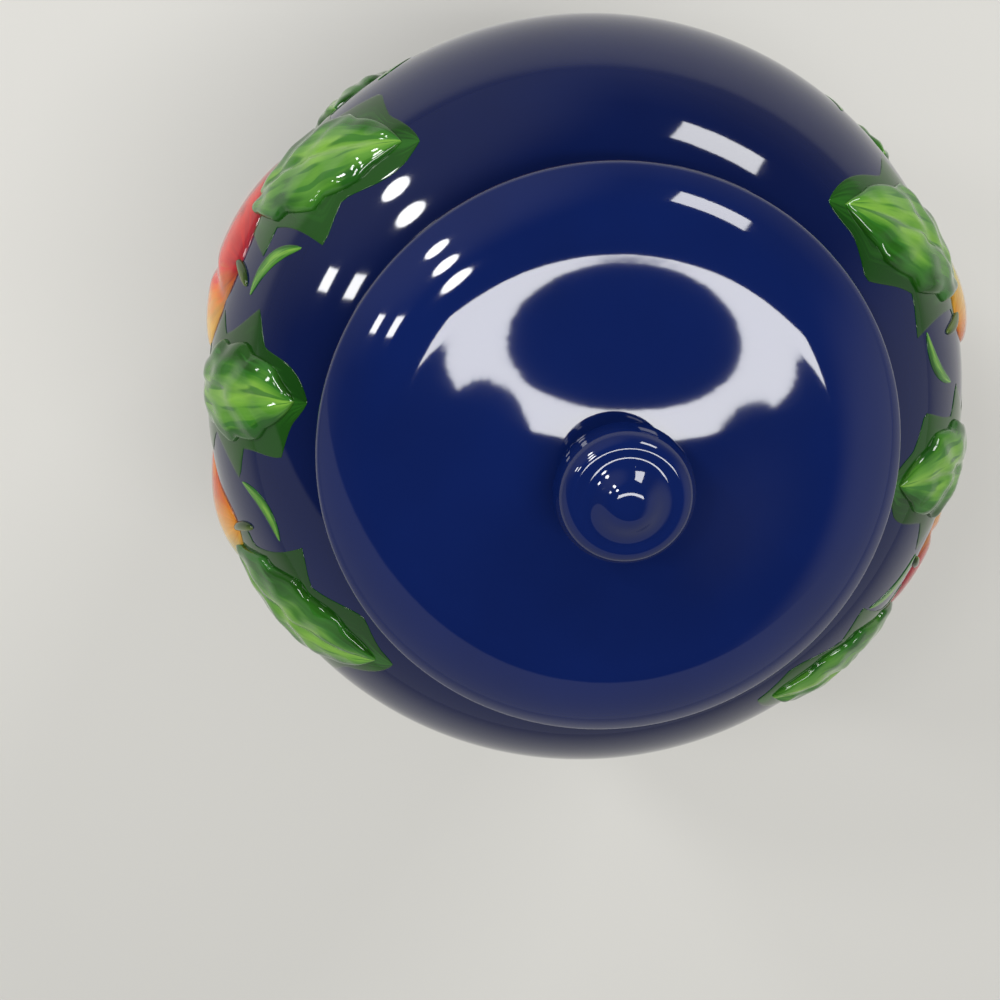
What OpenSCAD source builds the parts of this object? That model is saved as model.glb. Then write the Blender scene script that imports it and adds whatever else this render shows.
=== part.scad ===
// Biscuit jar in glazed earthenware: a round-shouldered pot with a collared mouth,
// a domed lid with a ball knob, and pads of fruit and leaves in low relief.
// The foot stands on z = 0 and the jar's axis is the Z axis.

/* [Body] */
// Height of the pot, from its foot to the top of the collar
body_h = 225; // [215:1:235]
// Radius of the belly at its widest
belly_r = 101.5; // [99:0.5:104]
// Height of the belly's widest line
belly_z = 168; // [164:1:169]
// Radius of the shoulder's curve, seen in section
shoulder_r = 50; // [47:1:51]
// Thickness of the clay
wall = 6; // [5:0.5:7]

/* [Foot] */
// Radius at which the belly meets the foot
heel_r = 66; // [62:1:70]
// Outer radius of the ring that the jar stands on
foot_r = 64; // [60:1:66]
// Width of the foot ring's flat face
foot_w = 8; // [6:1:10]
// Height of the foot ring
foot_h = 6; // [5:0.5:8]
// Depth of the hollow under the foot
foot_hollow = 3.5; // [2:0.5:4]

/* [Mouth] */
// Radius of the throat, the narrowest part of the mouth
throat_r = 53; // [50:1:55]
// Outer radius of the collar
collar_r = 66; // [64:1:68]
// Thickness of the collar at its edge
collar_t = 6; // [5:0.5:7]
// Radius of the waist between the collar and the shoulder
waist_r = 63; // [61:0.5:64]
// Roundness of the throat's upper edge
lip_round = 3; // [2:0.5:4]
// Radius of the collar's convex top, seen in section
collar_crown = 30; // [25:1:40]

/* [Lid] */
// Outer radius of the lid
lid_r = 68.5; // [67:0.5:70]
// Clearance between the lid and the collar
seat_gap = 0.3; // [0.2:0.05:0.5]
// Radius at which the lid's outer roll-off turns into its flatter middle
turn_r = 49; // [46:1:52]
// Slope of the lid at that turn, in degrees; it is steeper on either side
turn_slope = 2.5; // [1:0.5:5]
// Height of the crown above the lid's edge
crown_h = 15; // [14:0.5:16]
// Thickness of the lid at its edge
lid_edge = 5; // [4:0.5:6]
// Thickness of the lid in its middle
lid_t = 7; // [5:0.5:8]
// Outer radius of the locating ridge under the lid
ridge_r = 50; // [47:0.5:50]
// Depth of the locating ridge
ridge_h = 7; // [5:0.5:8]
// Lean of the ridge's outer face, in degrees
ridge_lean = 25; // [20:1:35]

/* [Knob] */
// Radius of the knob at its widest
knob_r = 15.5; // [14:0.5:17]
// Height of the knob's widest line above the lid's edge
knob_z = 26; // [25:0.5:27]
// Radius of the raised button on the knob
button_r = 8.2; // [7:0.2:9]
// Radius of the knob's neck
neck_r = 9; // [8:0.5:10]

/* [Relief] */
// Number of groups of fruit round the belly
groups = 2; // [1:1:2]
// How far the fruit stands out of the belly
fruit_rise = 5; // [3:0.5:6]
// How far the leaves stand out of the belly
leaf_rise = 3; // [2:0.5:4]

/* [Hidden] */

$fn = 180;
glaze_blue = [0.04, 0.09, 0.32];
// How far shapes that are joined reach into each other.
overlap = 1;

// The belly is two arcs that meet at its widest line: a tight one over the shoulder,
// and a wide one that narrows to the heel.
shoulder_c = [belly_r - shoulder_r, belly_z];
heel_in = belly_r - heel_r;
low_r = (heel_in ^ 2 + (belly_z - foot_h) ^ 2) / (2 * heel_in);
low_c = [belly_r - low_r, belly_z];

// Points of an arc in the (radius, height) plane, from angle a to angle b.
function arc(centre, r, a, b, steps = 8) =
    [for (i = [0:steps]) centre + r * [cos(a + (b - a) * i / steps), sin(a + (b - a) * i / steps)]];

// A place on the belly, s mm up (or down, if negative) from its widest line along the
// clay: the angle at which the outside faces there, and its point in the section.
function belly_lean(s) = s / (s > 0 ? shoulder_r : low_r) * 180 / PI;
function belly_at(s) = arc(s > 0 ? shoulder_c : low_c, s > 0 ? shoulder_r : low_r, belly_lean(s), 0, 1)[0];

// Half section of the belly, drawn inset by t: 0 is its outside, wall is its inside.
module belly_section(t) {
    intersection() {
        translate(shoulder_c) circle(shoulder_r - t);
        translate(shoulder_c) square(shoulder_r);
    }
    translate([0, belly_z]) square([shoulder_c[0], shoulder_r - t]);
    intersection() {
        translate(low_c) circle(low_r - t, $fn = 4 * $fn);
        square([belly_r, belly_z]);
    }
}

// Neck and collar: a cove out of the shoulder, a waist, and the collar's convex top.
cove_r = 1.5;
cove_c = [waist_r + cove_r,
          belly_z + sqrt((shoulder_r + cove_r) ^ 2 - (waist_r + cove_r - shoulder_c[0]) ^ 2)];
cove_end = 180 + atan2(cove_c[1] - belly_z, cove_c[0] - shoulder_c[0]);
collar_foot = cove_c[1] - 4 * cove_r;
edge_round = 1.5;
crown_c = [(throat_r + collar_r) / 2, body_h - collar_crown];
lip_c = [throat_r + lip_round,
         crown_c[1] + sqrt((collar_crown - lip_round) ^ 2 - (crown_c[0] - throat_r - lip_round) ^ 2)];
edge_c = [collar_r - edge_round,
          crown_c[1] + sqrt((collar_crown - edge_round) ^ 2 - (collar_r - edge_round - crown_c[0]) ^ 2)];
crown_from = atan2(edge_c[1] - crown_c[1], edge_c[0] - crown_c[0]);
crown_to = atan2(lip_c[1] - crown_c[1], lip_c[0] - crown_c[0]);

module collar_section() {
    polygon(concat(
        [[throat_r, collar_foot], [waist_r - 2 * overlap, collar_foot]],
        arc(cove_c, cove_r, cove_end, 180),
        arc([collar_r - edge_round, body_h - collar_t], edge_round, -90, 0, 5),
        arc(edge_c, edge_round, 0, crown_from, 5),
        arc(crown_c, collar_crown, crown_from, crown_to, 12),
        arc(lip_c, lip_round, crown_to, 180)
    ));
}

// Foot ring: a small step in from the heel, rounded where it meets the table.
foot_round = 1.5;

module foot_section() {
    polygon(concat(
        [[0, foot_h + overlap], [0, foot_hollow], [foot_r - foot_w - foot_hollow, foot_hollow]],
        arc([foot_r - foot_w + foot_round, foot_round], foot_round, 200, 270, 4),
        arc([foot_r - foot_round, foot_round], foot_round, 270, 360, 5),
        [[foot_r, foot_h + overlap]]
    ));
}

// Inside: the throat, eased into the belly, and a floor with a shallow groove round it.
throat_round = 4;
throat_c = [throat_r + throat_round,
            belly_z + sqrt((shoulder_r - wall + throat_round) ^ 2
                           - (throat_r + throat_round - shoulder_c[0]) ^ 2)];
throat_end = 180 + atan2(throat_c[1] - belly_z, throat_c[0] - shoulder_c[0]);
floor_z = foot_hollow + wall;
corner_r = 11;
corner_c = [low_c[0] + sqrt((low_r - wall - corner_r) ^ 2 - (belly_z - floor_z - corner_r) ^ 2),
            floor_z + corner_r];
corner_end = atan2(corner_c[1] - belly_z, corner_c[0] - low_c[0]);
groove_r = 1.6;
groove_in = 2;

module hollow_section() {
    corner_top = corner_c[1] + corner_r * sin(corner_end);
    intersection() {
        belly_section(wall);
        translate([0, corner_top]) square([belly_r, body_h]);
    }
    translate([0, belly_z]) square([throat_r, body_h]);
    polygon(concat(
        [[0, corner_top + overlap], [0, floor_z]],
        arc(corner_c, corner_r, 270, 360 + corner_end),
        [[corner_c[0], corner_top + overlap]]
    ));
    translate([corner_c[0] - groove_in, floor_z]) circle(groove_r);
    polygon(concat(
        [[throat_r - overlap, throat_c[1]]],
        arc(throat_c, throat_round, 180, throat_end),
        [[throat_r - overlap, belly_z + shoulder_r - wall - overlap]]
    ));
}

module belly_blank() rotate_extrude() belly_section(0);

module jar_outside() {
    rotate_extrude() union() {
        difference() {
            belly_section(0);
            translate([0, -overlap]) square([belly_r, foot_h + overlap]);
        }
        collar_section();
        translate([0, belly_z]) square([throat_r + overlap, body_h - collar_t - belly_z]);
        foot_section();
    }
}

module jar_body() color(glaze_blue) difference() {
    jar_outside();
    rotate_extrude() hollow_section();
}

// Lid: a convex roll-off at the edge, and a nearly flat middle that dips from the knob.
seat_z = body_h + seat_gap;
edge_z = seat_z + lid_edge / 2;
crown_z = edge_z + crown_h;
edge_slope = 45;
lid_round = lid_edge / 2;
roll_r = (lid_r - lid_round * (1 - sin(edge_slope)) - turn_r) / (sin(edge_slope) - sin(turn_slope));
turn_z = edge_z + lid_round * cos(edge_slope) + roll_r * (cos(turn_slope) - cos(edge_slope));
roll_c = [turn_r - roll_r * sin(turn_slope), turn_z - roll_r * cos(turn_slope)];
// The dip is one arc from the turn up to the knob's base.
base_r = neck_r + 2;
dip_run = turn_r - base_r;
dip_rise = crown_z - turn_z;
dip_chord = atan2(dip_rise, dip_run);
dip_r = norm([dip_run, dip_rise]) / (2 * sin(dip_chord - turn_slope));
dip_slope = 2 * dip_chord - turn_slope;
dip_c = [turn_r + dip_r * sin(turn_slope), turn_z + dip_r * cos(turn_slope)];
// The underside follows the top, and the ridge stands down from it.
ridge_t = 6;
ridge_round = 2;
ridge_foot = [ridge_r - ridge_h * tan(ridge_lean), seat_z - ridge_h];
ridge_in = ridge_foot[0] - ridge_t;
under_z = turn_z - lid_t;
under_bevel = 3.5;

module lid() color(glaze_blue) rotate_extrude() polygon(concat(
    [[0, crown_z], [0, crown_z - lid_t], [base_r, crown_z - lid_t]],
    [[ridge_in - under_bevel, under_z], [ridge_in, under_z - under_bevel]],
    arc(ridge_foot + [ridge_round - ridge_t, ridge_round], ridge_round, 180, 270, 5),
    arc(ridge_foot + [-ridge_round, ridge_round], ridge_round, 270, 360 - ridge_lean, 5),
    [[ridge_r, seat_z]],
    arc([lid_r - lid_round, edge_z], lid_round, -90, 90 - edge_slope, 10),
    arc(roll_c, roll_r, 90 - edge_slope, 90 - turn_slope, 16),
    arc(dip_c, dip_r, 270 - turn_slope, 270 - dip_slope, 12)
));

// Knob: a flattened ball on a waisted neck, with a raised button in a groove.
ball_z = edge_z + knob_z;
ball_h = 7.5;
ball_reach = 70;
neck_round = 2;
button_z = ball_z + ball_h;
button_groove = 1.2;
button_round = 2;
button_lift = 0.8;
button_h = 3.4;

module lid_knob() color(glaze_blue) rotate_extrude() polygon(concat(
    [[0, crown_z], [base_r, crown_z]],
    arc([neck_r + neck_round, crown_z + neck_round], neck_round, 250, 180, 5),
    arc([knob_r - ball_h, ball_z], ball_h, -ball_reach, ball_reach, 24),
    arc([button_r + button_groove, button_z - button_groove / 3], button_groove, 320, 180, 6),
    arc([button_r - button_round, button_z + button_lift], button_round, 0, 90, 6),
    [[0, button_z + button_h]]
));

// Relief. place() puts a child on the belly: +Z faces out, +X points down the belly.
module place(turn, s) {
    p = belly_at(s);
    rotate([0, 0, turn]) translate([p[0], 0, p[1]]) rotate([0, 90 - belly_lean(s), 0]) children();
}

// A fruit pad is the cap of a ball that stands h out of the belly.
module pad(ball, h) {
    translate([0, 0, h - ball]) sphere(ball);
}

// Each fruit: turn from the middle of its group, distance up the belly, radius of its ball.
PLUMS = [[-21, -10, 50]];
PEARS = [[21, -23, 42]];
PEAR_TOPS = [[17.5, 1, 30]];
BERRIES = [[-5.5, -53, 10], [5.5, -54, 10], [0.2, -70.5, 10]];
// Each leaf: turn, distance up the belly, half length, half width, tilt of its length
// from upright, radius of the ball that domes it.
LEAVES = [[-40, 24, 26, 14, -50, 50], [-4, 32, 22, 13, -6, 40], [34, 31, 26, 14, 50, 50],
          [-49, -26, 26, 13, 8, 95], [46, -22, 26, 13, -8, 95],
          [-28, -58, 26, 13, 75, 62], [27, -66, 26, 13, -75, 62]];

module each_group() {
    for (g = [0:groups - 1]) rotate([0, 0, -90 + g * 360 / groups]) children();
}

module fruit_pads(list, h) {
    for (f = list) place(f[0], f[1]) pad(f[2], h);
}

midrib = 1.6;
midrib_deep = 1;
blank_deep = 8;

module leaf_blank(l) {
    arc_r = (l[2] ^ 2 + l[3] ^ 2) / (2 * l[3]);
    place(l[0], l[1]) rotate([0, 0, l[4]]) difference() {
        intersection() {
            pad(l[5], leaf_rise);
            translate([0, l[3] - arc_r, -blank_deep]) cylinder(r = arc_r, h = 2 * blank_deep);
            translate([0, arc_r - l[3], -blank_deep]) cylinder(r = arc_r, h = 2 * blank_deep);
        }
        translate([0, 0, leaf_rise - l[5]]) rotate([90, 0, 0])
            rotate_extrude() polygon([[l[5] - midrib_deep, 0], [l[5] + 1, -midrib], [l[5] + 1, midrib]]);
    }
}

module plum_sprigs() color([0.8, 0.14, 0.1]) each_group() difference() {
    fruit_pads(PLUMS, fruit_rise);
    belly_blank();
}

module pear_sprigs() color([0.88, 0.6, 0.16]) each_group() difference() {
    union() {
        fruit_pads(PEARS, fruit_rise);
        fruit_pads(PEAR_TOPS, fruit_rise * 0.8);
    }
    belly_blank();
}

module berry_sprigs() color([0.5, 0.1, 0.3]) each_group() difference() {
    fruit_pads(BERRIES, fruit_rise);
    belly_blank();
}

module leaf_sprigs() color([0.36, 0.6, 0.2]) each_group() difference() {
    for (l = LEAVES) leaf_blank(l);
    belly_blank();
}

jar_body();
lid();
lid_knob();
plum_sprigs();
pear_sprigs();
berry_sprigs();
leaf_sprigs();
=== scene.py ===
# %% [markdown]
# # A glazed biscuit jar
# The jar is earthenware: clay shaped on a mould, fired, painted and dipped in glossy glaze. It has three
# pieces that a potter would name - the pot, the lid and the knob - and a wreath of fruit and leaves that
# was pressed from clay pads and stuck on before glazing. We model each of them in the order in which the
# potter made them, and keep the looks for the end.

# %% Load the jar's solid model
import math

import bmesh
import bpy
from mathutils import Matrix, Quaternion, Vector


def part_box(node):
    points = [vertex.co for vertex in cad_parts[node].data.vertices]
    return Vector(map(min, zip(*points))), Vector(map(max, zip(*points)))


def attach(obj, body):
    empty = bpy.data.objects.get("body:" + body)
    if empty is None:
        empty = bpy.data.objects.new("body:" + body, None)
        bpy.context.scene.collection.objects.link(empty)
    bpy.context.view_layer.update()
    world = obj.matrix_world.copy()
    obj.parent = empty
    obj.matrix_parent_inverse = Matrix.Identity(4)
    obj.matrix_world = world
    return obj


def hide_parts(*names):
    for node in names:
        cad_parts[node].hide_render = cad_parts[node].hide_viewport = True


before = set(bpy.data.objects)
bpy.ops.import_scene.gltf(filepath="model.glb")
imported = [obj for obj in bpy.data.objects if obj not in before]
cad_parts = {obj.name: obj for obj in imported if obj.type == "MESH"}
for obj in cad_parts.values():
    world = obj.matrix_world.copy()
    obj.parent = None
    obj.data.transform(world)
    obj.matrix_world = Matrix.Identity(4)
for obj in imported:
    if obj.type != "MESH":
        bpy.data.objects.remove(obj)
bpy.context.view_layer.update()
mm = 0.001

# %% [markdown]
# ## Where we stand
# The camera looks down into the mouth from above and is turned almost upside down, as when a jar on its
# side is looked at from the front. A long lens would flatten the belly, so this one is close to a normal
# lens on a 36 mm sensor.

# %% Camera
eye = Vector((-83.9, -43.8, 544.8)) * mm
aim = Vector((11.35, -25.0, 225.0)) * mm
roll = math.radians(171.5)
camera_data = bpy.data.cameras.new("camera")
camera_data.sensor_width = 36.0
camera_data.lens = 50.8
camera_data.clip_start = 0.01
camera = bpy.data.objects.new("camera", camera_data)
camera.rotation_mode = "QUATERNION"
camera.location = eye
camera.rotation_quaternion = (aim - eye).to_track_quat("-Z", "Y") @ Quaternion((0, 0, 1), roll)
bpy.context.scene.collection.objects.link(camera)
bpy.context.scene.camera = camera
print("camera is", round((eye - aim).length, 3), "m from the mouth")

# %% [markdown]
# ## Colours and nodes
# Paint colours are easiest to pick as the hex values of a colour chart. Blender mixes light in linear
# numbers, so one function turns the first into the second. A second one adds a shader node with its
# settings and links and hands back one of its outputs, which keeps each recipe below to a few lines.

# %% Helpers for materials
def paint(code):
    """The sRGB hex colour `code` as linear red, green, blue and alpha."""
    parts = [int(code[i:i + 2], 16) / 255 for i in (0, 2, 4)]
    return (*[p / 12.92 if p <= 0.04045 else ((p + 0.055) / 1.055) ** 2.4 for p in parts], 1.0)


def add(tree, kind, links=None, out=0, stops=(), **settings):
    """Adds a node and returns its output `out`. `links` maps its inputs, by name or number, to a value or to
    another node's output. `stops` are the places and colours of a colour ramp."""
    node = tree.nodes.new("ShaderNode" + kind)
    for name, value in settings.items():
        setattr(node, name, value)
    for name, value in (links or {}).items():
        if isinstance(value, bpy.types.NodeSocket):
            tree.links.new(value, node.inputs[name])
        else:
            node.inputs[name].default_value = value
    for number, (place, colour) in enumerate(stops):
        elements = node.color_ramp.elements
        stop = elements[number] if number < len(elements) else elements.new(place)
        stop.position, stop.color = place, colour
    return node.outputs[out] if node.outputs else None


def new_material(name):
    """An empty material and its node tree."""
    made = bpy.data.materials.new(name)
    made.use_nodes = True
    made.node_tree.nodes.clear()
    return made, made.node_tree


# A Mix node keeps its sockets for colours behind those for numbers and vectors, at these places.
AMOUNT, FIRST, SECOND, MIXED = 0, 6, 7, 2


# %% [markdown]
# ## Glossy glaze
# Glaze is a skin of glass, about 0.3 mm thick, over coloured clay. Its IOR is that of window glass and it
# is almost perfectly smooth: what gives it away as handmade is a slow waviness, which bends the
# highlights, a fine ripple, which frays their edges, a few pinholes, and colour that is thin on edges and
# deep in hollows. The waves are about 12 mm long, the ripples 3 mm, and the pinholes 0.8 mm wide.

# %% The glaze recipe
GLAZE_IOR = 1.5
WAVE = 12 * mm
WAVE_DEPTH = 0.02 * mm
RIPPLE = 3 * mm
RIPPLE_DEPTH = 0.004 * mm
PINHOLE_SPACING = 9 * mm
PINHOLE_R = 0.4 * mm
PINHOLE_BOTTOM = 0.4
PINHOLE_SHARE = 0.18
GLOSS = 0.05
MATT = 0.85
BARE_CLAY = paint("d8c9b2")


def pinholes(tree, spot):
    """1 in the middle of a few small round pits, 0 between them."""
    cells = add(tree, "TexVoronoi", {"Vector": spot, "Scale": 1 / PINHOLE_SPACING}).node.outputs
    near = add(tree, "MapRange", {"Value": cells["Distance"], "From Min": PINHOLE_R / PINHOLE_SPACING,
                                  "From Max": PINHOLE_BOTTOM * PINHOLE_R / PINHOLE_SPACING})
    chance = add(tree, "SeparateColor", {"Color": cells["Color"]}, out="Red")
    few = add(tree, "Math", {0: chance, 1: PINHOLE_SHARE}, operation="LESS_THAN")
    return add(tree, "Math", {0: near, 1: few}, operation="MULTIPLY")


def glaze(tree, spot, colour, bare=None, height=0.0):
    """Finishes a material as gloss glaze of this colour, with waves and an extra height in metres. Where
    `bare` is 1, the clay shows, matt."""
    roughness = GLOSS
    if bare:
        colour = add(tree, "Mix", {AMOUNT: bare, FIRST: colour, SECOND: BARE_CLAY}, MIXED, data_type="RGBA")
        roughness = add(tree, "MapRange", {"Value": bare, "To Min": GLOSS, "To Max": MATT})
    for size, depth in ((WAVE, WAVE_DEPTH), (RIPPLE, RIPPLE_DEPTH)):
        swell = add(tree, "TexNoise", {"Vector": spot, "Scale": 1 / size, "Detail": 1.0})
        height = add(tree, "Math", {0: swell, 1: depth, 2: height}, operation="MULTIPLY_ADD")
    bump = add(tree, "Bump", {"Height": height, "Strength": 1.0, "Distance": 1.0})
    shader = add(tree, "BsdfPrincipled", {"Base Color": colour, "Roughness": roughness, "IOR": GLAZE_IOR,
                                          "Normal": bump})
    add(tree, "OutputMaterial", {"Surface": shader})


# %% [markdown]
# ## Cobalt blue outside, ivory inside
# The pot is dipped in blue and lined with ivory. The two meet in a crisp line on the lip, a little uneven
# because it was wiped by hand. Each point of the mesh knows how far it is past that line along the
# pot's profile, and the material switches colour where that distance passes zero. In the same way the
# groove round the inside floor is darker, as painted shade and as glaze pooled there, the lid's sharp
# edge gets a thin brown line, and the glaze is left off the faces that the pot stood on in the kiln.

# %% Glaze of the pot
COBALT_SPREAD = 45 * mm
IVORY_SPREAD = 30 * mm
WIPE_LENGTH = 9 * mm
WIPE_WOBBLE = 0.4 * mm
LINE_BLUR = 0.15 * mm
POOL_AND_SHADE_W = 1.7 * mm
POT_DEEP = paint("060f34")
POT_COBALT = paint("081745")
IVORY = paint("fdf8ea")
IVORY_SHADE = paint("f9f1df")
# Colour of the groove round the inside floor: painted shade, partly glaze that pools there.
IVORY_POOL_AND_SHADE = paint("a89878")
SPECK = paint("6b5a48")

pot_glaze, tree = new_material("cobalt_and_ivory_glaze")
spot = add(tree, "TexCoord", out="Object")
cloud = add(tree, "TexNoise", {"Vector": spot, "Scale": 1 / COBALT_SPREAD, "Detail": 3.0})
blue = add(tree, "Mix", {AMOUNT: cloud, FIRST: POT_DEEP, SECOND: POT_COBALT}, MIXED, data_type="RGBA")
cloud = add(tree, "TexNoise", {"Vector": spot, "Scale": 1 / IVORY_SPREAD, "Detail": 4.0})
ivory = add(tree, "Mix", {AMOUNT: cloud, FIRST: IVORY, SECOND: IVORY_SHADE}, MIXED, data_type="RGBA")
from_groove = add(tree, "Attribute", out="Fac", attribute_name="from_groove")
# Painted shade in the groove round the inside floor, partly pooled glaze: the ivory turns darker there.
pool_and_shade = add(tree, "MapRange", {"Value": from_groove, "From Min": POOL_AND_SHADE_W, "From Max": 0.0},
           interpolation_type="SMOOTHSTEP")
ivory = add(tree, "Mix", {AMOUNT: pool_and_shade, FIRST: ivory, SECOND: IVORY_POOL_AND_SHADE}, MIXED, data_type="RGBA")
pits = pinholes(tree, spot)
ivory = add(tree, "Mix", {AMOUNT: pits, FIRST: ivory, SECOND: SPECK}, MIXED, data_type="RGBA")
unsteady = add(tree, "TexNoise", {"Vector": spot, "Scale": 1 / WIPE_LENGTH, "Detail": 2.0})
wobble = add(tree, "MapRange", {"Value": unsteady, "To Min": -WIPE_WOBBLE, "To Max": WIPE_WOBBLE})
past_line = add(tree, "Attribute", out="Fac", attribute_name="past_line")
past_line = add(tree, "Math", {0: past_line, 1: wobble}, operation="ADD")
lined = add(tree, "MapRange", {"Value": past_line, "From Min": -LINE_BLUR, "From Max": LINE_BLUR})
both = add(tree, "Mix", {AMOUNT: lined, FIRST: blue, SECOND: ivory}, MIXED, data_type="RGBA")
bare = add(tree, "Attribute", out="Fac", attribute_name="bare")
bare = add(tree, "MapRange", {"Value": bare, "From Min": -LINE_BLUR, "From Max": LINE_BLUR})
glaze(tree, spot, both, bare)
print("inside and outside are", pot_glaze.name)

# %% Glaze of the lid and the knob
COBALT_DEEP = paint("07143f")
COBALT = paint("0a1c53")
LID_EDGE_BROWN = paint("3a2a2a")
EDGE_LINE_CORE = 0.2 * mm
EDGE_LINE_FADE = 0.6 * mm
PIT = paint("4b5a86")
PIT_DEPTH = 0.12 * mm

lid_glaze, tree = new_material("cobalt_glaze_on_lid")
spot = add(tree, "TexCoord", out="Object")
cloud = add(tree, "TexNoise", {"Vector": spot, "Scale": 1 / COBALT_SPREAD, "Detail": 3.0})
blue = add(tree, "Mix", {AMOUNT: cloud, FIRST: COBALT_DEEP, SECOND: COBALT}, MIXED, data_type="RGBA")
# A thin brown line along the lid's sharp edge, full within 0.2 mm of it and gone by 0.6 mm.
from_edge = add(tree, "Attribute", out="Fac", attribute_name="from_edge")
edge_line = add(tree, "MapRange", {"Value": from_edge, "From Min": EDGE_LINE_FADE, "From Max": EDGE_LINE_CORE})
blue = add(tree, "Mix", {AMOUNT: edge_line, FIRST: blue, SECOND: LID_EDGE_BROWN}, MIXED, data_type="RGBA")
pits = pinholes(tree, spot)
blue = add(tree, "Mix", {AMOUNT: pits, FIRST: blue, SECOND: PIT}, MIXED, data_type="RGBA")
pit_height = add(tree, "Math", {0: pits, 1: -PIT_DEPTH}, operation="MULTIPLY")
bare = add(tree, "Attribute", out="Fac", attribute_name="bare")
bare = add(tree, "MapRange", {"Value": bare, "From Min": -LINE_BLUR, "From Max": LINE_BLUR})
glaze(tree, spot, blue, bare, pit_height)
print("lid and knob are", lid_glaze.name)

# %% [markdown]
# ## Turning a profile
# A potter's jigger sweeps a profile round the wheel's axis, and so does `bmesh.ops.spin`. We draw the
# profile as a chain of points in the XZ plane, with arcs for the rounded parts, and sweep it a full turn.
# Each point carries one number per attribute, which the sweep copies round with it.

# %% Helpers for turned pieces
TURN_STEPS = 256


def arc(centre, radius, start, end, steps):
    """Points (radius, height) of an arc, from angle `start` to angle `end` in degrees."""
    angles = [math.radians(start + (end - start) * i / steps) for i in range(steps + 1)]
    return [(centre[0] + radius * math.cos(a), centre[1] + radius * math.sin(a)) for a in angles]


def line(start, end, steps):
    """Points of a straight run, without its two ends."""
    return [tuple(s + (e - s) * i / steps for s, e in zip(start, end)) for i in range(1, steps)]


def rounded(points, radius, steps):
    """The chain of straight runs through `points`, with its inner corners rounded to about `radius`."""
    chain = [points[0]]
    for before, corner, after in zip(points, points[1:], points[2:]):
        corner = Vector(corner)
        back, on = Vector(before) - corner, Vector(after) - corner
        cut = min(radius / math.tan(back.angle(on) / 2), 0.45 * back.length, 0.45 * on.length)
        start, end = corner + back.normalized() * cut, corner + on.normalized() * cut
        for t in [i / steps for i in range(steps + 1)]:
            chain.append(tuple((1 - t) ** 2 * start + 2 * t * (1 - t) * corner + t * t * end))
    return chain + [points[-1]]


def turned(name, profile, marks, material, body, node):
    """Sweeps a profile, in mm, round Z. `marks` maps an attribute's name to its value at each point."""
    mesh = bmesh.new()
    layers = {mark: mesh.verts.layers.float.new(mark) for mark in marks}
    verts = [mesh.verts.new((r * mm, 0, z * mm)) for r, z in profile]
    for mark, values in marks.items():
        for vert, value in zip(verts, values):
            vert[layers[mark]] = value
    edges = [mesh.edges.new(pair) for pair in zip(verts, verts[1:])]
    bmesh.ops.spin(mesh, geom=verts + edges, axis=(0, 0, 1), cent=(0, 0, 0), angle=math.tau,
                   steps=TURN_STEPS, use_merge=True)
    bmesh.ops.remove_doubles(mesh, verts=mesh.verts, dist=0.001 * mm)
    finish_piece(name, mesh, material, body, node)


def finish_piece(name, mesh, material, body, node):
    """Turns a bmesh into a smooth-shaded piece that rides on a body and stands for a CAD node."""
    bmesh.ops.recalc_face_normals(mesh, faces=mesh.faces)
    for face in mesh.faces:
        face.smooth = True
    data = bpy.data.meshes.new(name)
    mesh.to_mesh(data)
    mesh.free()
    data.materials.append(material)
    piece = bpy.data.objects.new(name, data)
    bpy.context.scene.collection.objects.link(piece)
    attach(piece, body)
    if node:
        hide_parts(node)
    print(name, "has", len(data.polygons), "faces")


def run_length(profile, start):
    """Distance in metres along the profile, counted from point number `start`."""
    run = [0.0]
    for a, b in zip(profile, profile[1:]):
        run.append(run[-1] + math.dist(a, b) * mm)
    return [r - run[start] for r in run]


# %% [markdown]
# ## The pot
# One piece of clay makes the foot, the belly, the shoulder, the collar and the throat. The belly is two
# arcs that meet at its widest line: a tight one over the shoulder, and a wide one that narrows to the foot.
# The collar's top is slightly convex, so that it catches a long soft highlight, and the lip rolls over into
# the throat in a tight curve, which catches a thin bright one.

# %% The pot's sizes, in mm
BODY_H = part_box("jar_body")[1].z / mm
BELLY_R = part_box("jar_body")[1].x / mm
BELLY_Z = 168.0
SHOULDER_R = 50.0
WALL = 6.0
HEEL_R = 66.0
FOOT_R = 64.0
FOOT_W = 8.0
FOOT_H = 6.0
FOOT_HOLLOW = 3.5
FOOT_ROUND = 1.5
THROAT_R = 53.0
THROAT_ROUND = 4.0
COLLAR_R = 66.0
COLLAR_T = 6.0
WAIST_R = 63.0
LIP_ROUND = 3.0
EDGE_ROUND = 1.5
COLLAR_CROWN = 30.0
COVE_R = 1.5
CORNER_R = 11.0
GROOVE_R = 1.6
GROOVE_IN = 2.0
FLOOR_DIP = 0.8
HEEL_IN = BELLY_R - HEEL_R
LOW_R = (HEEL_IN ** 2 + (BELLY_Z - FOOT_H) ** 2) / (2 * HEEL_IN)
LOW_C = (BELLY_R - LOW_R, BELLY_Z)
SHOULDER_C = (BELLY_R - SHOULDER_R, BELLY_Z)


def leg(hypotenuse, side):
    """The other short side of a right-angled triangle."""
    return math.sqrt(hypotenuse ** 2 - side ** 2)


def heading(centre, point):
    """The angle in degrees at which `point` lies, seen from `centre`."""
    return math.degrees(math.atan2(point[1] - centre[1], point[0] - centre[0]))


# %% The pot's profile
def above(centre, radius, r):
    """The point at `radius` from `centre` that lies above it, `r` from the jar's axis."""
    return (r, centre[1] + leg(radius, r - centre[0]))


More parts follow.
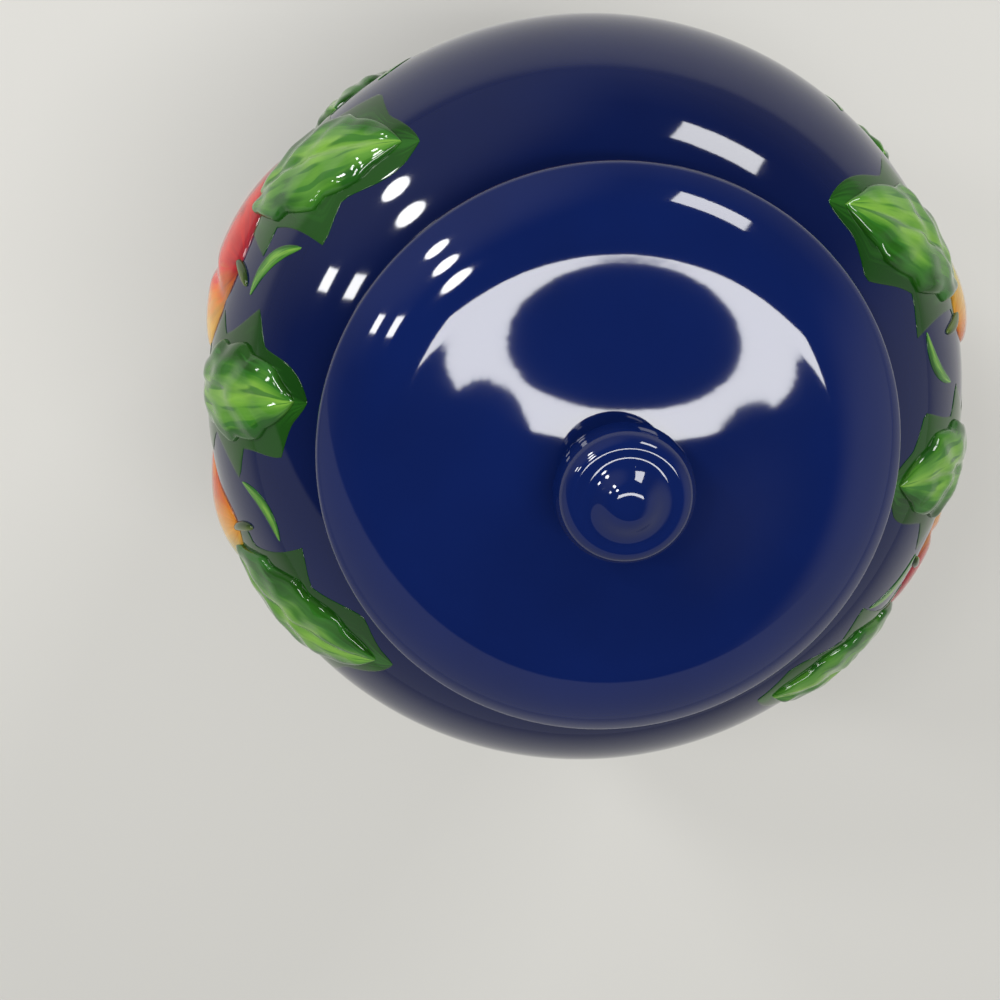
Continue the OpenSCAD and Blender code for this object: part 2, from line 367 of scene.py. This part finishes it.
cove_c = above(SHOULDER_C, SHOULDER_R + COVE_R, WAIST_R + COVE_R)
crown_c = ((THROAT_R + COLLAR_R) / 2, BODY_H - COLLAR_CROWN)
lip_c = above(crown_c, COLLAR_CROWN - LIP_ROUND, THROAT_R + LIP_ROUND)
edge_c = above(crown_c, COLLAR_CROWN - EDGE_ROUND, COLLAR_R - EDGE_ROUND)
throat_c = above(SHOULDER_C, SHOULDER_R - WALL + THROAT_ROUND, THROAT_R + THROAT_ROUND)
floor_z = FOOT_HOLLOW + WALL
corner_c = (LOW_C[0] + leg(LOW_R - WALL - CORNER_R, BELLY_Z - floor_z - CORNER_R), floor_z + CORNER_R)
groove_x = corner_c[0] - GROOVE_IN
cove_turn = heading(SHOULDER_C, cove_c)
edge_turn = heading(crown_c, edge_c)
lip_turn = heading(crown_c, lip_c)
throat_turn = heading(SHOULDER_C, throat_c)

outside = [(0.0, FOOT_HOLLOW), (30.0, FOOT_HOLLOW)]
outside += [(FOOT_R - FOOT_W - 3.5, FOOT_HOLLOW)]
outside += arc((FOOT_R - FOOT_W + FOOT_ROUND, FOOT_ROUND), FOOT_ROUND, 200, 270, 5)
outside += arc((FOOT_R - FOOT_ROUND, FOOT_ROUND), FOOT_ROUND, 270, 360, 6)
foot_edge = len(outside)
outside += [(FOOT_R, FOOT_H - 0.6), (FOOT_R + 0.4, FOOT_H)]
outside += arc(LOW_C, LOW_R, heading(LOW_C, (HEEL_R, FOOT_H)), 0, 70)
outside += arc(SHOULDER_C, SHOULDER_R, 0, cove_turn, 44)[1:]
outside += arc(cove_c, COVE_R, cove_turn + 180, 180, 6)[1:]
outside += arc((COLLAR_R - EDGE_ROUND, BODY_H - COLLAR_T), EDGE_ROUND, -90, 0, 6)
outside += arc(edge_c, EDGE_ROUND, 0, edge_turn, 6)
outside += arc(crown_c, COLLAR_CROWN, edge_turn, lip_turn, 14)[1:]
lip = arc(lip_c, LIP_ROUND, lip_turn, 180, 14)[1:]
inside = line((THROAT_R, lip_c[1]), (THROAT_R, throat_c[1]), 5)
inside += arc(throat_c, THROAT_ROUND, 180, 180 + throat_turn, 8)
inside += arc(SHOULDER_C, SHOULDER_R - WALL, throat_turn, 0, 32)[1:]
inside += arc(LOW_C, LOW_R - WALL, 0, heading(LOW_C, corner_c), 60)[1:]
inside += arc(corner_c, CORNER_R, heading(LOW_C, corner_c), -90, 10)[1:]
groove_low = len(outside + lip + inside) + 4
inside += arc((groove_x, floor_z), GROOVE_R, 0, -180, 8)
inside += [(groove_x - GROOVE_R - 6, floor_z), (20.0, floor_z - 0.75 * FLOOR_DIP), (0.0, floor_z - FLOOR_DIP)]
pot_profile = outside + lip + inside
pot_marks = {"past_line": run_length(pot_profile, len(outside) + 1),
             "from_groove": [abs(r) for r in run_length(pot_profile, groove_low)],
             "bare": [-r for r in run_length(pot_profile, foot_edge - 4)]}
turned("jar_pot", pot_profile, pot_marks, pot_glaze, "jar", "jar_body")

# %% [markdown]
# ## The lid
# The lid is a shallow dome: nearly flat in the middle, where it dips a little away from the knob, and
# rolling off towards the edge. Underneath, a ring of clay drops into the throat and keeps it centred.
# It stood in the kiln on the ring that rests on the collar, so that ring is bare clay.

# %% The lid's sizes, in mm, and its profile
LID_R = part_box("lid")[1].x / mm
SEAT_GAP = 0.3
TURN_R = 49.0
CROWN_H = 15.0
LID_EDGE = 5.0
LID_T = 7.0
RIDGE_R = 50.0
RIDGE_H = 7.0
RIDGE_T = 6.0
RIDGE_LEAN = 25.0
RIDGE_ROUND = 2.0
NECK_R = 9.0
NECK_COVE = 2.0
KNOB_SLOPE = 5.0
TURN_SLOPE = 2.5
EDGE_SLOPE = 45.0

seat_z = BODY_H + SEAT_GAP
edge_z = seat_z + LID_EDGE / 2
lid_round = LID_EDGE / 2
sine, cosine = math.sin(math.radians(EDGE_SLOPE)), math.cos(math.radians(EDGE_SLOPE))
turn_sine, turn_cosine = math.sin(math.radians(TURN_SLOPE)), math.cos(math.radians(TURN_SLOPE))
roll_r = (LID_R - lid_round * (1 - sine) - TURN_R) / (sine - turn_sine)
turn_z = edge_z + lid_round * cosine + roll_r * (turn_cosine - cosine)
roll_c = (TURN_R - roll_r * turn_sine, turn_z - roll_r * turn_cosine)
base_r = NECK_R + NECK_COVE
crown_z = edge_z + CROWN_H
ridge_foot = RIDGE_R - RIDGE_H * math.tan(math.radians(RIDGE_LEAN))
ridge_in = ridge_foot - RIDGE_T
under_z = turn_z - LID_T


def dip(t):
    """A point of the dip, from the knob's foot (t = 0) to the turn (t = 1), smooth at both ends."""
    run = TURN_R - base_r
    start_fall, end_fall = [run * math.tan(math.radians(a)) for a in (KNOB_SLOPE, TURN_SLOPE)]
    along = t * t * (3 - 2 * t)
    bend = end_fall * t * t * (1 - t) - start_fall * t * (1 - t) ** 2
    z = crown_z + (turn_z - crown_z) * along + bend
    return (base_r + run * t, z)


lid_profile = [(0.0, crown_z), (base_r * 0.7, crown_z)]
lid_profile += [dip(i / 24) for i in range(25)]
lid_profile += arc(roll_c, roll_r, 90 - TURN_SLOPE, 90 - EDGE_SLOPE, 24)[1:]
edge_start = len(lid_profile)
lid_profile += arc((LID_R - lid_round, edge_z), lid_round, 90 - EDGE_SLOPE, -90, 16)[1:]
seat_start = len(lid_profile)
lid_profile += line((LID_R - lid_round, seat_z), (RIDGE_R, seat_z), 8) + [(RIDGE_R, seat_z)]
seat_end = len(lid_profile) - 1
ridge_low = seat_z - RIDGE_H
underside = [(RIDGE_R - 0.2, seat_z - 0.4), (ridge_foot, ridge_low), (ridge_in, ridge_low),
             (ridge_in, under_z), (base_r, crown_z - LID_T), (0.0, crown_z - LID_T)]
lid_profile += rounded(underside, RIDGE_ROUND, 6)
edge_run = run_length(lid_profile, edge_start + 4)
lid_marks = {"from_edge": [abs(r) for r in edge_run],
             "bare": [min(r - edge_run[seat_start], edge_run[seat_end] - r) for r in edge_run]}
turned("jar_lid", lid_profile, lid_marks, lid_glaze, "lid_body", "lid")

# %% [markdown]
# ## The knob
# A knob is what the fingers find: a flattened ball on a narrow neck, with a low button that swells out of a
# shallow valley in its top. Thick glaze has softened every edge, so one smooth curve draws the whole top. The
# knob is turned apart from the lid and stuck on with slip, and a small cove runs round its foot.

# %% The knob's profile
KNOB_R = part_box("lid_knob")[1].x / mm
KNOB_Z = 26.0
BALL_H = 7.5
TOP_H = 7.1
EDGE_W = 4.2
BUTTON_R = 6.8
BUTTON_H = 3.4
VALLEY_R = 9.6
VALLEY_W = 1.2
VALLEY_DEEP = 0.12
SLIP = 0.4
ball_z = edge_z + KNOB_Z


def knob_top(r):
    """The top's height above the ball's middle, `r` from the axis: ball, button and valley."""
    ball = TOP_H * leg(1, max(r - KNOB_R + EDGE_W, 0) / EDGE_W)
    button = BUTTON_H * math.exp(-(r / BUTTON_R) ** 4)
    return ball + button - VALLEY_DEEP * math.exp(-((r - VALLEY_R) / VALLEY_W) ** 2)


knob_profile = [(0.0, crown_z - SLIP), (base_r - 0.5 * SLIP, crown_z - SLIP), (base_r, crown_z)]
knob_profile += arc((base_r, crown_z + NECK_COVE), NECK_COVE, 250, 180, 6)
knob_profile += arc((KNOB_R - BALL_H, ball_z), BALL_H, -70, 0, 16)
top_radii = [KNOB_R - EDGE_W + EDGE_W * math.cos(math.radians(5 * i)) for i in range(1, 18)]
top_radii += [(KNOB_R - EDGE_W) * (1 - i / 40) for i in range(41)]
knob_profile += [(r, ball_z + knob_top(r)) for r in top_radii]
knob_marks = {"from_edge": [1.0] * len(knob_profile), "bare": [-1.0] * len(knob_profile)}
turned("jar_knob", knob_profile, knob_marks, lid_glaze, "lid_body", "lid_knob")

# %% [markdown]
# ## Clay pads wrapped on the belly
# The wreath is made of pads that were pressed from clay and laid on the pot. We press each one out of a
# ball: `shape` flattens the ball into a pad that lies flat, and `on_belly` lays every point of it on the
# curved clay. Heights are measured from the clay, so a pad's rim always meets the pot.

# %% Helpers for the pads
def on_belly(turn, up, height):
    """The point `height` mm off the clay, `up` mm above the widest line, `turn` degrees round the jar."""
    centre, radius = (SHOULDER_C, SHOULDER_R) if up > 0 else (LOW_C, LOW_R)
    lean = up / radius
    out = centre[0] + (radius + height) * math.cos(lean)
    rise = centre[1] + (radius + height) * math.sin(lean)
    return Vector((out * math.cos(turn), out * math.sin(turn), rise)) * mm


def belly_radius(up):
    """The belly's radius in mm, `up` mm along the clay from its widest line."""
    centre, radius = (SHOULDER_C, SHOULDER_R) if up > 0 else (LOW_C, LOW_R)
    return centre[0] + radius * math.cos(up / radius)


def unit_ball(fineness):
    """A ball of radius 1 to press pads from."""
    mesh = bmesh.new()
    bmesh.ops.create_uvsphere(mesh, u_segments=fineness, v_segments=fineness // 2, radius=1)
    ball = bpy.data.meshes.new("ball")
    mesh.to_mesh(ball)
    mesh.free()
    return ball


def press(mesh, brush, ball, place, shape):
    """Adds one pad. `place` is (turn, up, tilt) in degrees and mm; `shape` maps a point of the ball to
    (across, along, height) in mm. The ball's own coordinates stay behind in the layer `brush`."""
    turn, up, tilt = place
    tilt = math.radians(tilt)
    start = len(mesh.verts)
    mesh.from_mesh(ball)
    mesh.verts.ensure_lookup_table()
    for vert in mesh.verts[start:]:
        x, y, z = vert.co
        vert[brush] = (x, y, z)
        across, along, height = shape(x, y, z)
        up_here = up + along * math.cos(tilt) - across * math.sin(tilt)
        round_here = across * math.cos(tilt) + along * math.sin(tilt)
        vert.co = on_belly(math.radians(turn) + round_here / belly_radius(up_here), up_here, height)


def wreath(name, places, shape, material, node, fineness=96):
    """Presses the same kind of pad at each of `places`, in every group, as one piece. Each pad gets its own
    number, so that `shape` can make no two of them alike."""
    mesh = bmesh.new()
    brush = mesh.verts.layers.float_vector.new("brush")
    ball = unit_ball(fineness)
    for group in range(GROUPS):
        for number, (turn, up, half_width, half_height, tilt) in enumerate(places):
            place = (turn - 90 + group * 360 / GROUPS, up, tilt)
            press(mesh, brush, ball, place, shape(half_width, half_height, number + 0.5 * group))
    bpy.data.meshes.remove(ball)
    finish_piece(name, mesh, material, "jar", node)


GROUPS = 2
FRUIT_RISE = 5.0
LEAF_RISE = 3.0
SUNK = 0.8

# %% [markdown]
# ## Brushed colour
# The pads are painted under the glaze with a broad brush: two or three tones laid wet beside each other,
# with streaks that follow the stroke, and a few darker strokes over them. A stroke bends with the outline
# of the pad, so it is drawn on the pad's own lengthwise lines, and its edge wanders by a brush's width.

# %% Painting under the glaze
BRUSH_WANDER = 11 * mm
STREAK_SCALE = 3.0
FRUIT_STREAKS = (2.2, 0.4)
TIP_START = 0.66
TIP_COVER = 0.85
STROKE_SCALE = 1.6
STROKE_SLANT = 0.5
STROKE_STRETCH = (2.6, 0.8, 1.0)
STROKE_START, STROKE_FULL = 0.54, 0.6
STROKE_COVER = 0.8


def brushed(name, tones, streaks, wear=0.25, strokes=None, tip=None):
    """Gloss glaze over brush strokes: `tones` are (place, colour) stops across the pad, and `streaks`
    scales the noise across and along it. `strokes` colours darker strokes, and `tip` the pad's top end."""
    made, tree = new_material(name)
    spot = add(tree, "TexCoord", out="Object")
    brush = add(tree, "Attribute", out="Vector", attribute_name="brush")
    parts = add(tree, "SeparateXYZ", {"Vector": brush}).node.outputs
    square = add(tree, "Math", {0: parts["Y"], 1: parts["Y"]}, operation="MULTIPLY")
    width = add(tree, "Math", {0: 1.02, 1: square}, operation="SUBTRACT")
    width = add(tree, "Math", {0: width}, operation="SQRT")
    side = add(tree, "Math", {0: parts["X"], 1: width}, operation="DIVIDE")
    place = add(tree, "CombineXYZ", {"X": side, "Y": parts["Y"]})
    stretched = add(tree, "Mapping", {"Vector": place, "Scale": (*streaks, 1.0)})
    streak = add(tree, "TexNoise", {"Vector": stretched, "Scale": STREAK_SCALE, "Detail": 2.5})
    ragged = add(tree, "MapRange", {"Value": streak, "To Min": -wear, "To Max": wear})
    wander = add(tree, "TexNoise", {"Vector": spot, "Scale": 1 / BRUSH_WANDER, "Detail": 1.0})
    wander = add(tree, "MapRange", {"Value": wander, "To Min": 0.2, "To Max": 0.8})
    middle = add(tree, "Math", {0: ragged, 1: wander}, operation="ADD")
    across = add(tree, "Math", {0: side, 1: 0.5, 2: middle}, operation="MULTIPLY_ADD")
    colour = add(tree, "ValToRGB", {"Fac": across}, stops=tones)
    if tip:
        near_top = add(tree, "Math", {0: parts["Y"], 1: ragged}, operation="ADD")
        top = add(tree, "MapRange", {"Value": near_top, "From Min": TIP_START, "To Max": TIP_COVER})
        colour = add(tree, "Mix", {AMOUNT: top, FIRST: colour, SECOND: tip}, MIXED, data_type="RGBA")
    if strokes:
        slanted = add(tree, "Mapping", {"Vector": place, "Rotation": (0, 0, STROKE_SLANT),
                                        "Scale": STROKE_STRETCH})
        stroke = add(tree, "TexNoise", {"Vector": slanted, "Scale": STROKE_SCALE, "Detail": 1.0})
        over = add(tree, "MapRange", {"Value": stroke, "From Min": STROKE_START, "From Max": STROKE_FULL,
                                      "To Max": STROKE_COVER})
        colour = add(tree, "Mix", {AMOUNT: over, FIRST: colour, SECOND: strokes}, MIXED, data_type="RGBA")
    glaze(tree, spot, colour)
    return made


# %% Colours of the fruit and leaves
RED = [(0.05, paint("8c1512")), (0.22, paint("c8261c")), (0.6, paint("d8301f")), (0.74, paint("e0752a")),
       (0.95, paint("dfae50"))]
GOLD = [(0.08, paint("c2501c")), (0.3, paint("d98c32")), (0.62, paint("e3b04a")), (0.95, paint("a9a743"))]
CHERRY = [(0.2, paint("5c0d1c")), (0.6, paint("a81c2c")), (0.9, paint("d8503c"))]
LEAF_GREEN = [(0.06, paint("1b450f")), (0.24, paint("2b611a")), (0.36, paint("4d802b")),
              (0.52, paint("6f9c3a")), (0.7, paint("53852f")), (0.86, paint("407424")),
              (0.97, paint("205018"))]
UNDERGREEN = [(0.2, paint("123a0c")), (0.5, paint("235816")), (0.8, paint("17420f"))]
STALK = [(0.2, paint("24380f")), (0.8, paint("4a5c1e"))]

red_fruit = brushed("painted_red", RED, FRUIT_STREAKS, tip=paint("6e1a2c"))
gold_fruit = brushed("painted_gold", GOLD, FRUIT_STREAKS, tip=paint("b06a20"))
berry_red = brushed("painted_cherry", CHERRY, (1.5, 0.5))
leaf_green = brushed("painted_leaf", LEAF_GREEN, (1.5, 0.45), 0.24, strokes=paint("2a6220"))
dark_green = brushed("painted_undergreen", UNDERGREEN, (2.0, 0.5), 0.5)
stalk_green = brushed("painted_stalk", STALK, (1.5, 0.5))
print("painted in", red_fruit.name, gold_fruit.name, berry_red.name, leaf_green.name)

# %% [markdown]
# ## Fruit
# Each fruit is one or two low domes. The plum has a crease down its side, and the pear a neck that grows
# out of its body. Their rims are sunk a little, as wet clay is when it is thumbed on. A short stem of clay
# is laid over the top of each.

# %% Plums, pears, berries and stems
PLUMS = [(-22, -7, 29.5, 26.5, 0)]
PEARS = [(21, -11, 25.5, 34.0, -6)]
BERRIES = [(-5.5, -53, 8.9, 8.9, 0), (5.5, -54, 8.9, 8.9, 0), (0.2, -70.5, 8.9, 8.9, 0)]
STEMS = [(19.0, 25.5, 1.3, 7.5, -10), (-21.3, 21.0, 1.3, 7.0, 14), (-3.6, -42.5, 1.1, 5.5, 25),
         (3.8, -43.0, 1.1, 5.5, -25), (0.3, -61.0, 1.1, 3.5, 4)]
STEM_RISE = 1.2
PLUM_RISE = 0.9 * FRUIT_RISE
PEAR_RISE = 0.92 * FRUIT_RISE
CREASE = 1.2
BEDDED = 0.05


def dome(z, rise, steepness):
    """Height of a pad's top, from its rim (z = 0) to its crown (z = 1), and of its sunk underside."""
    return rise * z ** steepness - BEDDED if z > 0 else SUNK * z - BEDDED


def plum_shape(half_width, half_height, number):
    def shape(x, y, z):
        crease = CREASE * math.exp(-((x - 0.18 - 0.25 * y * y) / 0.08) ** 2) * max(z, 0) ** 0.5
        return half_width * x, half_height * y, dome(z, PLUM_RISE, 1.3) - crease
    return shape


def pear_shape(half_width, half_height, number):
    def shape(x, y, z):
        neck = 1 - 0.42 / (1 + math.exp(-9 * (y - 0.3)))
        rise = PEAR_RISE * (1 - 0.12 * max(y, 0))
        return half_width * x * neck, half_height * y, dome(z, rise, 1.15)
    return shape


def berry_shape(half_width, half_height, number):
    def shape(x, y, z):
        return half_width * x, half_height * y, dome(z, FRUIT_RISE, 1.0)
    return shape


def stem_shape(half_width, half_height, number):
    def shape(x, y, z):
        bend = 0.9 * (y * y - 0.3)
        return half_width * x * (1 + 0.3 * y) + bend, half_height * y, dome(z, STEM_RISE, 0.6)
    return shape


wreath("wreath_plums", PLUMS, plum_shape, red_fruit, "plum_sprigs", 128)
wreath("wreath_pears", PEARS, pear_shape, gold_fruit, "pear_sprigs", 128)
wreath("wreath_berries", BERRIES, berry_shape, berry_red, "berry_sprigs", 64)
wreath("wreath_stems", STEMS, stem_shape, stalk_green, None, 48)

# %% [markdown]
# ## Leaves
# A leaf is a pointed pad with a toothed edge, a sunk midrib, slanting side veins and a few slow lumps.
# Under the leaves lies a flat layer of darker green, which runs out over the blue in a few pointed corners
# and joins the leaves to the fruit. A few quick strokes of light green finish the group.

# %% Leaves and the brushwork under them
LEAVES = [(-40, 24, 26, 14, -50), (-4, 32, 22, 13, -6), (34, 31, 26, 14, 50), (-49, -26, 26, 13, 8),
          (46, -22, 26, 13, -8), (-28, -58, 26, 13, 75), (27, -66, 26, 13, -75)]
BRUSHWORK = LEAVES + [(-1, -2, 30, 10, 4), (-3, -38, 20, 15, 10), (0, -60, 18, 17, 80)]
STROKES = [(-25, 34, 10, 2.0, -60), (15, 40, 9, 1.8, 60), (-58, 0, 10, 2.0, 25), (56, 4, 10, 2.0, -25),
           (-45, -54, 10, 2.0, 40), (44, -57, 10, 2.0, -40)]
PAINT_RISE = 0.25
TEETH_PER_LENGTH = 2.0
TOOTH_DEPTH = 0.16
VEIN_SPACING = 9.0
VEIN_RISE = 0.16
LUMP = 13.0
LUMP_RISE = 0.3
MIDRIB_DEPTH = 0.6
MIDRIB_W = 1.3


def pointed(y, half_width, sharpness=0.85):
    """Half width of a pointed leaf at `y`, which runs from -1 to 1 along it."""
    return half_width * max(1 - y * y, 0.0) ** sharpness


def tooth(value, sharpness=1.0):
    """0 to 1: slowly up and quickly back, once for each whole number that `value` passes."""
    part = value - math.floor(value)
    return (part / 0.75) ** sharpness if part < 0.75 else (1 - part) / 0.25


def sideways(x, y):
    """How far a point of the ball lies across it at its place `y`: -1 at one edge and 1 at the other."""
    return x / max(math.sqrt(max(1 - y * y, 0)), 0.02)


def leaf_shape(half_length, half_width, number):
    def shape(x, y, z):
        side = sideways(x, y)
        teeth = tooth(TEETH_PER_LENGTH * y + number * 0.3 + (0.5 if side > 0 else 0))
        across = side * pointed(y, half_width) * (1.02 - TOOTH_DEPTH * (1 - teeth) * abs(side))
        veins = VEIN_RISE * math.sin(math.tau * (half_length * y - 0.9 * abs(across)) / VEIN_SPACING)
        lumps = math.sin(math.tau * across / LUMP + number) * math.sin(math.tau * half_length * y / LUMP)
        midrib = MIDRIB_DEPTH * math.exp(-(across / MIDRIB_W) ** 2)
        fade = min(1.0, 1.6 * max(z, 0))
        relief = (veins + LUMP_RISE * lumps - midrib) * fade
        return across, half_length * y, dome(z, LEAF_RISE, 0.6) + relief
    return shape


def paint_film(z):
    """Height of a flat layer of paint, and of its sunk underside."""
    return PAINT_RISE * z ** 0.3 if z > 0 else SUNK * z


def brushwork_shape(half_length, half_width, number):
    def shape(x, y, z):
        side = sideways(x, y)
        corners = tooth(1.4 * y + number * 0.37 + (0.45 if side > 0 else 0), 2.0)
        across = side * pointed(y, half_width * 1.2, 0.8) * (0.92 + 0.55 * corners)
        return across, half_length * 1.16 * y, paint_film(z)
    return shape


def stroke_shape(half_length, half_width, number):
    def shape(x, y, z):
        bend = 3.0 * (y * y - 0.4)
        across = sideways(x, y) * pointed(y, half_width, 0.6) + bend
        return across, half_length * y, paint_film(z)
    return shape


wreath("wreath_leaves", LEAVES, leaf_shape, leaf_green, "leaf_sprigs")
wreath("wreath_brushwork", BRUSHWORK, brushwork_shape, dark_green, None)
wreath("wreath_strokes", STROKES, stroke_shape, leaf_green, None, 64)

# %% [markdown]
# ## Floor and light
# A plain pale floor and plain soft lamps. Gloss glaze shows its lamps as mirror images, so their shapes
# matter: a long strip overhead makes the arch round the knob, a row of small lamps makes the ovals near the
# rim, and a pale wall at one side makes the crescent on the lid. The room gives soft light from all sides,
# and more from straight above, which reaches down into the open pot. The glaze mirrors the room dark above
# and pale at the horizon, as a room with pale walls is. Away from the jar the floor fades into the
# backdrop, as a roll of paper that is swept up behind it does.

# %% Floor
BACKDROP = paint("cfcec9")
FLOOR_PAPER = paint("c3c2be")
FLOOR_HALF = 4.0
FADE_START, FADE_END = 0.5, 1.8
floor_mesh = bmesh.new()
bmesh.ops.create_grid(floor_mesh, x_segments=1, y_segments=1, size=FLOOR_HALF)
floor_data = bpy.data.meshes.new("floor")
floor_mesh.to_mesh(floor_data)
floor_mesh.free()
floor = bpy.data.objects.new("floor", floor_data)
bpy.context.scene.collection.objects.link(floor)
floor_paper, tree = new_material("pale_paper")
matt = add(tree, "BsdfPrincipled", {"Base Color": FLOOR_PAPER, "Roughness": 0.7})
spot = add(tree, "TexCoord", out="Object")
distance = add(tree, "VectorMath", {0: spot}, out="Value", operation="LENGTH")
far = add(tree, "MapRange", {"Value": distance, "From Min": FADE_START, "From Max": FADE_END},
          interpolation_type="SMOOTHSTEP")
looked_at = add(tree, "LightPath", out="Is Camera Ray")
fade = add(tree, "Math", {0: far, 1: looked_at}, operation="MULTIPLY")
haze = add(tree, "Emission", {"Color": BACKDROP})
blend = add(tree, "MixShader", {0: fade, 1: matt, 2: haze})
add(tree, "OutputMaterial", {"Surface": blend})
floor_data.materials.append(floor_paper)
print("floor is", 2 * FLOOR_HALF, "m wide")

# %% Lamps
def softbox(name, where, size, glow, aim_at=(0, 0, 0.2), shape="RECTANGLE"):
    """A soft lamp at `where`, in metres, that faces `aim_at`, with `glow` watts per square metre."""
    data = bpy.data.lights.new(name, "AREA")
    data.shape = shape
    data.size, data.size_y = size
    data.energy = glow * size[0] * size[1]
    lamp = bpy.data.objects.new(name, data)
    lamp.location = where
    lamp.rotation_mode = "QUATERNION"
    lamp.rotation_quaternion = (Vector(aim_at) - Vector(where)).to_track_quat("-Z", "Y")
    bpy.context.scene.collection.objects.link(lamp)


def high_in_room(azimuth, elevation, distance=1.6):
    """The point this far from the jar's collar, with both angles in degrees."""
    turn, rise = math.radians(azimuth), math.radians(elevation)
    flat = Vector((math.cos(turn) * math.cos(rise), math.sin(turn) * math.cos(rise), math.sin(rise)))
    return flat * distance + Vector((0, 0, 0.2))


softbox("overhead_strip", (0.05, 0.25, 1.74), (0.2, 1.15), 50, (0.05, 0.25, 0))
softbox("back_softbox", (-1.5, 0.85, 1.2), (0.6, 0.4), 45)
for number, (azimuth, elevation) in enumerate([(-134, 26), (-132, 43), (-129, 60)]):
    softbox(f"spot_{number + 1}", high_in_room(azimuth, elevation), (0.19, 0.24), 70, shape="ELLIPSE")
for number, elevation in enumerate([28, 44]):
    softbox(f"pane_{number + 1}", high_in_room(-109, elevation), (0.14, 0.16), 75)

# %% Room
AMBIENT = (0.41, 0.41, 0.4, 1)
SKYLIGHT = (0.88, 0.87, 0.84, 1)
SKYLIGHT_EDGE, SKYLIGHT_MIDDLE = 0.74, 0.92
WALL = (0.43, 0.43, 0.43, 1)
WALL_TOP = 1.15
LIT_PATCHES = [((-0.75, -0.6, 0.2), 0.65, (0.36, 0.36, 0.35, 1)),
               ((0.35, 0.9, 0.2), 0.6, (0.5, 0.5, 0.49, 1))]
MIRRORED = [(0.0, (0.25, 0.25, 0.25, 1)), (0.1, (0.18, 0.18, 0.18, 1)), (0.35, (0.065, 0.065, 0.075, 1)),
            (0.75, (0.03, 0.03, 0.04, 1))]
room = bpy.data.worlds.new("room")
bpy.context.scene.world = room
room.use_nodes = True
tree = room.node_tree
tree.nodes.clear()
towards = add(tree, "TexCoord", out="Generated")
parts = add(tree, "SeparateXYZ", {"Vector": towards}).node.outputs
mirrored = add(tree, "ValToRGB", {"Fac": parts["Z"]}, stops=MIRRORED)
above_wall = add(tree, "Math", {0: parts["X"], 1: -WALL_TOP, 2: parts["Z"]}, operation="MULTIPLY_ADD")
on_wall = add(tree, "MapRange", {"Value": above_wall, "From Min": 0.02, "From Max": -0.02})
mirrored = add(tree, "Mix", {AMOUNT: on_wall, FIRST: mirrored, SECOND: WALL}, MIXED, data_type="RGBA")
for middle, edge, glow in LIT_PATCHES:
    middle = Vector(middle).normalized()
    closeness = add(tree, "VectorMath", {0: towards, 1: middle}, out="Value", operation="DOT_PRODUCT")
    lit = add(tree, "MapRange", {"Value": closeness, "From Min": edge}, interpolation_type="SMOOTHERSTEP")
    mirrored = add(tree, "Mix", {AMOUNT: lit, FIRST: mirrored, SECOND: glow}, MIXED, data_type="RGBA")
overhead = add(tree, "MapRange", {"Value": parts["Z"], "From Min": SKYLIGHT_EDGE,
                                  "From Max": SKYLIGHT_MIDDLE}, interpolation_type="SMOOTHSTEP")
soft = add(tree, "Mix", {AMOUNT: overhead, FIRST: AMBIENT, SECOND: SKYLIGHT}, MIXED, data_type="RGBA")
ray = add(tree, "LightPath").node.outputs
seen = add(tree, "Mix", {AMOUNT: ray["Is Glossy Ray"], FIRST: soft, SECOND: mirrored}, MIXED,
           data_type="RGBA")
seen = add(tree, "Mix", {AMOUNT: ray["Is Camera Ray"], FIRST: seen, SECOND: BACKDROP}, MIXED,
           data_type="RGBA")
sky = add(tree, "Background", {"Color": seen, "Strength": 1.0})
add(tree, "OutputWorld", {"Surface": sky})

bpy.context.scene.view_settings.view_transform = "Standard"
